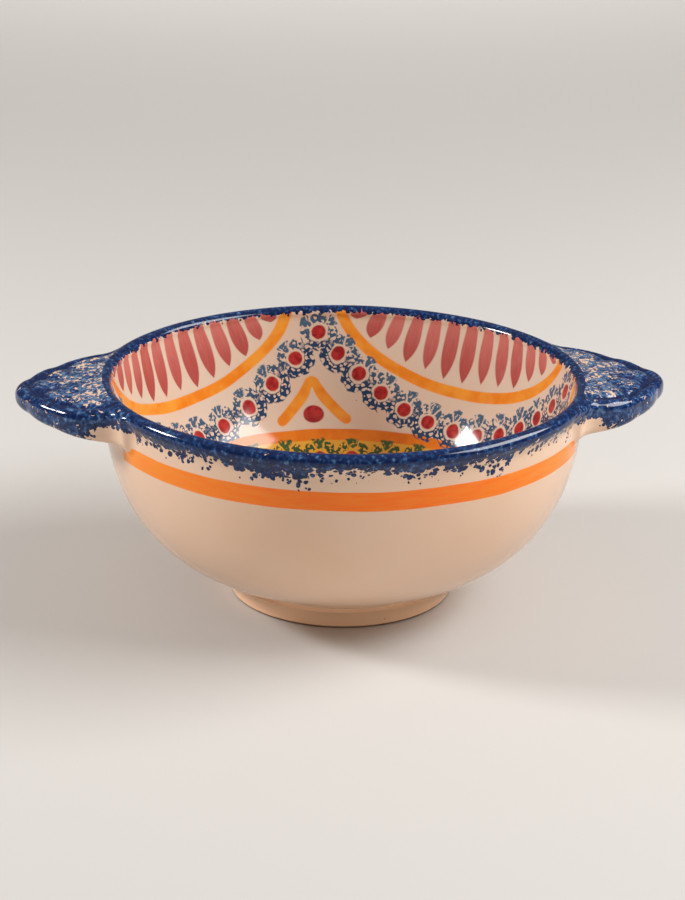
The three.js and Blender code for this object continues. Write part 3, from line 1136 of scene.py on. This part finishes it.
def paint_spray(coat):
    """A folk flower spray on the floor, the same on both sides of its stem."""
    sway = coat.sway(SPRAY_SIZE, seed=71)
    across = coat.x + sway * SPRAY_SWAY[0]
    y = coat.y + sway * SPRAY_SWAY[1]
    x = abs(across)
    brush = coat.ramp(coat.fine_noise(SPRAY_MOTTLE, seed=72), *SPRAY_RANGE)
    green = coat.mixed(brush, LEAF_GREEN, LACE_GREEN)
    navy = coat.mixed(brush, NAVY, COBALT_DARK)
    sky = coat.mixed(brush, SKY, COBALT)
    orange = coat.mixed(brush, ORANGE, ORANGE_DEEP)
    russet = coat.mixed(brush, RUSSET, RED_DEEP)

    stem = coat.within(x - STEM_HALF_WIDTH) * coat.within(abs(y - STEM_MIDDLE) - STEM_HALF_LENGTH)
    curve = (x / BRANCH_REACH) ** BRANCH_POWER * BRANCH_RISE + BRANCH_FOOT
    branch = abs(y - curve) / coat.hypot(x * BRANCH_SLOPE, 1.0) - BRANCH_HALF_WIDTH
    coat.paint(navy, coat.most(stem, coat.within(branch) * coat.within(x - BRANCH_REACH)))
    for centre, angle, length, width in LEAVES:
        coat.paint(green, almond(coat, x, y, centre, angle, length, width))

    for angle in BUD_ANGLES:
        centre = BUD_CENTRE + BUD_REACH * heading(angle * DEGREE)
        coat.paint(orange, almond(coat, x, y, centre.tolist(), angle, BUD_LENGTH, BUD_WIDTH))
    coat.paint(russet, disc(coat, x, y, CALYX_CENTRE, CALYX_RADIUS))

    rise = y - FLOWER_HEIGHT
    span = coat.hypot(across, rise)
    turn = coat.math("ARCTAN2", across, rise) * FLOWER_LOBES
    wave = abs(coat.math("COSINE", turn)) * FLOWER_WAVE
    vein = abs(coat.math("SINE", turn)) * span - VEIN_HALF_WIDTH
    coat.paint(navy, coat.within(span - (wave + FLOWER_EDGE)))
    coat.paint(sky, coat.within(span - (wave + FLOWER_INSIDE)))
    coat.paint(navy, coat.within(vein) * coat.within(span - VEIN_REACH))
    coat.paint(orange, coat.within(span - EYE_RADIUS))
    coat.paint(russet, coat.within(span - PUPIL_RADIUS))
    for spot in SPOTS:
        coat.paint(russet, disc(coat, x, y, spot, SPOT_RADIUS))


def inside_coat(radius_at, lip_arc):
    """Floor and inner wall: the spray, the borders round it, and the sponged lip over them."""
    # The ground inside is painted darker than outside, as painted shade in the hollow
    coat = Coat("painted_inside", SHADED_HOLLOW_BUFF)
    buff_ground(coat)
    bearing = coat.bearing() - DECOR_TURN + coat.sway(HAND_SIZE, seed=21) * HAND_SWAY
    arc = coat.attribute("arc") + coat.sway(HAND_SIZE, seed=22) * HAND_LIFT
    radius = coat.from_axis()
    swing = quarter_swing(coat, bearing)
    streak = coat.ramp(coat.fine_noise(STREAK_SIZE, seed=41), *STREAK_RANGE)
    orange = coat.mixed(streak, AMBER, AMBER_DEEP)
    paint_spray(coat)
    paint_rings(coat, arc, streak)
    paint_garland(coat, bearing, arc, radius)
    paint_swag(coat, swing, arc, orange)
    paint_petals(coat, bearing, swing, arc)
    paint_chevrons(coat, quarter_swing(coat, bearing - CHEVRON_TURN), arc, radius, orange)
    paint_chain(coat, quarter_swing(coat, bearing - CHAIN_TURN), arc, radius, radius_at)
    sponge(coat, lip_cover(coat, lip_arc - coat.attribute("arc"), INSIDE_FADES))
    return coat.glaze()


def paint_band(coat):
    """Orange band round the outside, cut off short of each lug."""
    bearing = abs(coat.bearing())
    aside = QUARTER - abs(QUARTER - bearing)
    waver = coat.sway(BAND_WAVER_SIZE, seed=101) * BAND_WAVER
    level = abs(coat.z + waver - (BAND_LOW + BAND_HIGH) / 2) - (BAND_HIGH - BAND_LOW) / 2
    hairs = coat.vector(bearing * BAND_ROUND, coat.z * BAND_UP, 0.0)
    streak = coat.ramp(coat.fine_noise(1.0, seed=102, at=hairs), *BAND_STREAK)
    # The streaks are the brush's; the deeper orange midway between the lugs is painted shade
    thick_and_shade = streak * BAND_STREAK_DEPTH + coat.ramp(aside, *BAND_FRONT_SHADE) * BAND_FRONT_SHADE_DEPTH
    orange = coat.mixed(coat.math("MINIMUM", thick_and_shade, 1.0), ORANGE, ORANGE_DEEP)
    ends = (BAND_CUT - aside) * (DEGREE * RIM_RADIUS)
    off_wall = coat.from_axis() - (RIM_RADIUS - LIP_FLARE + BAND_REACH)
    coat.paint(orange, coat.within(coat.most(level, ends, off_wall), BAND_SOFT))


def outside_coat(lip_arc):
    """Outer wall: bare ground, the band and the sponged lip."""
    coat = Coat("painted_outside", BUFF)
    buff_ground(coat)
    paint_band(coat)
    wave = coat.noise(WAVE_SIZE, 2.0, WAVE_ROUGHNESS, seed=103) - 0.5
    down = coat.attribute("arc") - lip_arc + wave * WAVE_DEPTH
    sponge(coat, lip_cover(coat, down, OUTSIDE_FADES))
    return coat.glaze()


def lug_coat():
    """Sponged lug, with the wall's band where its fillet runs over it."""
    coat = Coat("sponged_lug", BUFF)
    buff_ground(coat)
    paint_band(coat)
    out = coat.from_axis()
    patch = coat.fine_noise(LUG_PATCH, seed=111)
    ragged = patch - 0.5
    face = coat.ramp(coat.z, *FACE_RANGE)
    field = coat.ramp(coat.attribute("inset"), *WORN_INSET) * coat.ramp(out, *WORN_OUT)
    worn = field * coat.ramp(patch, *WORN_PATCH) * face
    low = coat.ramp(coat.z + ragged * LOW_RAGGED, *LOW_RANGE)
    root = coat.ramp(out + ragged * ROOT_RAGGED, *ROOT_OUT) * coat.ramp(coat.z, *ROOT_UNDER)
    pooled = coat.attribute("hollow") * face
    cover = LUG_COVER - worn * WORN_LOSS - low * LOW_LOSS - root * ROOT_LOSS + pooled * POOLED_GAIN
    # The paler wash on the worn face is partly the sponge's pale blue and partly painted sheen
    sponge(coat, cover, LUG_WASH + worn * WORN_WASH_AND_SHEEN - pooled * POOLED_WASH, LUG_DAB)
    return coat.glaze()


def foot_coat():
    """Glaze on the foot, painted lighter than the body's as painted fill light, and wiped off where it
    stands.
    """
    coat = Coat("foot_glaze", LIT_FOOT_BUFF)
    buff_ground(coat)
    ragged = (coat.fine_noise(BARE_SIZE, seed=121) - 0.5) * BARE_RAGGED
    bare = coat.within(coat.z - BARE_HEIGHT + ragged, BARE_SOFT)
    # The bare ring is real, but its dark colour is partly painted contact shadow where the foot meets the
    # floor
    coat.paint(CLAY_AND_CONTACT_SHADE, bare)
    return coat.glaze(coat.pick(bare, FOOT_ROUGHNESS, BARE_ROUGHNESS), rippled=False)


def floor_card():
    material = bpy.data.materials.new("floor_card")
    material.use_nodes = True
    shader = material.node_tree.nodes["Principled BSDF"]
    shader.inputs["Base Color"].default_value = FLOOR_GREY
    shader.inputs["Roughness"].default_value = FLOOR_ROUGHNESS
    shader.inputs["Specular IOR Level"].default_value = FLOOR_SPECULAR
    return material


# Pieces

def build_bowl():
    """The bowl, with one coat inside the crown of its lip and another outside."""
    profile = bowl_profile()
    arcs = arc_lengths(profile)
    lip_start = FLOOR_STEPS + HOLLOW_STEPS
    lip_arc = arcs[lip_start] + LIP_RADIUS * (LIP_TURN_IN - math.pi / 2)

    def radius_at(arc):
        return np.interp(arc, arcs[:lip_start], profile[:lip_start, 0])

    bowl = turned("bowl", profile, loop=False)
    values = np.concatenate((np.repeat(arcs[1:-1], SEGMENTS), arcs[:1], arcs[-1:]))
    set_attribute(bowl, "arc", values)
    bowl.data.materials.append(inside_coat(radius_at, lip_arc))
    bowl.data.materials.append(outside_coat(lip_arc))
    outside = [int(values[list(face.vertices)].mean() > lip_arc) for face in bowl.data.polygons]
    bowl.data.polygons.foreach_set("material_index", outside)
    return bowl


def build_foot():
    foot = turned("foot", foot_profile(), loop=True)
    foot.data.materials.append(foot_coat())
    return foot


def build_lugs():
    """Two lugs from one mesh, the left one turned half round the axis."""
    vertices, faces = lug_mesh()
    inset = -lug_edge(vertices[:, 0], vertices[:, 1])
    hollow = lug_hollow(vertices, inset)
    material = lug_coat()
    lugs = []
    for name, side in (("lug_right", 1), ("lug_left", -1)):
        lug = mesh_object(name, vertices * (side, side, 1), faces)
        set_attribute(lug, "inset", inset)
        set_attribute(lug, "hollow", hollow)
        lug.data.materials.append(material)
        lugs.append(lug)
    return lugs


# Studio

def from_camera(turn, rise):
    """A direction, turned and raised from the camera's side of the bowl."""
    bearing = (CAMERA_TURN - QUARTER + turn) * DEGREE
    rise *= DEGREE
    return Vector((math.cos(bearing) * math.cos(rise), math.sin(bearing) * math.cos(rise), math.sin(rise)))


def soften_lamp(lamp):
    """Light that falls off at the edges of a lamp, as through the cloth of a softbox."""
    lamp.use_nodes = True
    nodes = Nodes(lamp.node_tree)
    place = nodes.add("ShaderNodeNewGeometry").outputs["Parametric"]
    across, up, _ = nodes.parts(place)
    aside = nodes.most(abs(across - LAMP_HALF), abs(up - LAMP_HALF))
    strength = lamp.node_tree.nodes["Emission"].inputs["Strength"]
    nodes.feed(strength, nodes.ramp(aside, LAMP_HALF, LAMP_EVEN))


def add_lamp(name, place, back, width, height, power, gloss):
    """A soft area lamp, which shines away from the direction at its back."""
    lamp = bpy.data.lights.new(name, "AREA")
    lamp.shape = "RECTANGLE"
    lamp.size, lamp.size_y = width, height
    lamp.energy = power
    soften_lamp(lamp)
    box = bpy.data.objects.new(name, lamp)
    box.visible_camera = False
    box.visible_glossy = gloss
    box.location = place
    box.rotation_euler = back.to_track_quat("Z", "Y").to_euler()
    bpy.context.scene.collection.objects.link(box)
    return lamp


def add_softbox(name, turn, rise, distance, width, height, power, gloss):
    """A lamp round the bowl, aimed at it."""
    back = from_camera(turn, rise)
    place = Vector((0, 0, LOOK_HEIGHT * MM)) + back * distance
    add_lamp(name, place, back, width, height, power, gloss)


def add_backdrop_lamp():
    """A lamp over the floor far behind the bowl, which keeps the backdrop pale."""
    up = Vector((0, 0, 1))
    place = from_camera(2 * QUARTER, 0) * BACKDROP_REACH + up * BACKDROP_RISE
    lamp = add_lamp("backdrop_lamp", place, up, BACKDROP_WIDTH, BACKDROP_DEPTH, BACKDROP_POWER, gloss=False)
    lamp.spread = BACKDROP_SPREAD


def add_light():
    for name, settings in SOFTBOXES.items():
        add_softbox(name, *settings)
    add_backdrop_lamp()
    world = bpy.data.worlds.new("studio")
    world.use_nodes = True
    background = world.node_tree.nodes["Background"]
    background.inputs["Color"].default_value = STUDIO_WHITE
    background.inputs["Strength"].default_value = STUDIO_LEVEL
    bpy.context.scene.world = world


def add_floor():
    """A pale floor that sweeps up into a round backdrop."""
    flat = [(radius, 0) for radius in FLOOR_RINGS]
    sweep = rounding((SWEEP_START, SWEEP_RADIUS), SWEEP_RADIUS, -math.pi / 2, 0, SWEEP_STEPS)
    profile = np.vstack((flat, sweep, (SWEEP_START + SWEEP_RADIUS, SWEEP_TOP)))
    vertices, index = turned_rings(profile, FLOOR_SIDES)
    faces = fan(len(vertices), index[0, :-1], index[0, 1:]) + between_rings(index)
    floor = mesh_object("floor", np.vstack((vertices, (0, 0, 0))), faces)
    floor.data.materials.append(floor_card())


def add_camera():
    camera = bpy.data.cameras.new("camera")
    camera.lens = FOCAL_PIXELS * camera.sensor_width / FRAME_HEIGHT
    camera.clip_end = CLIP_END
    view = bpy.data.objects.new("camera", camera)
    back = from_camera(0, CAMERA_RISE)
    view.location = (Vector((0, 0, LOOK_HEIGHT)) + back * CAMERA_DISTANCE) * MM
    turn = back.to_track_quat("Z", "Y").to_matrix() @ Matrix.Rotation(CAMERA_ROLL * DEGREE, 3, "Z")
    view.rotation_euler = turn.to_euler()
    bpy.context.scene.collection.objects.link(view)
    bpy.context.scene.camera = view


add_camera()
add_light()
add_floor()

bowl = build_bowl()
foot = build_foot()
lug_right, lug_left = build_lugs()
for piece, node, slot in (
    (bowl, "bowl_body", "buff_glaze"),
    (foot, "foot_ring", "buff_glaze"),
    (lug_right, "right_lug", "cobalt_sponge"),
    (lug_left, "left_lug", "cobalt_sponge"),
):
    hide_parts(node)
    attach(piece, "root")

bpy.context.scene.view_settings.view_transform = "Standard"
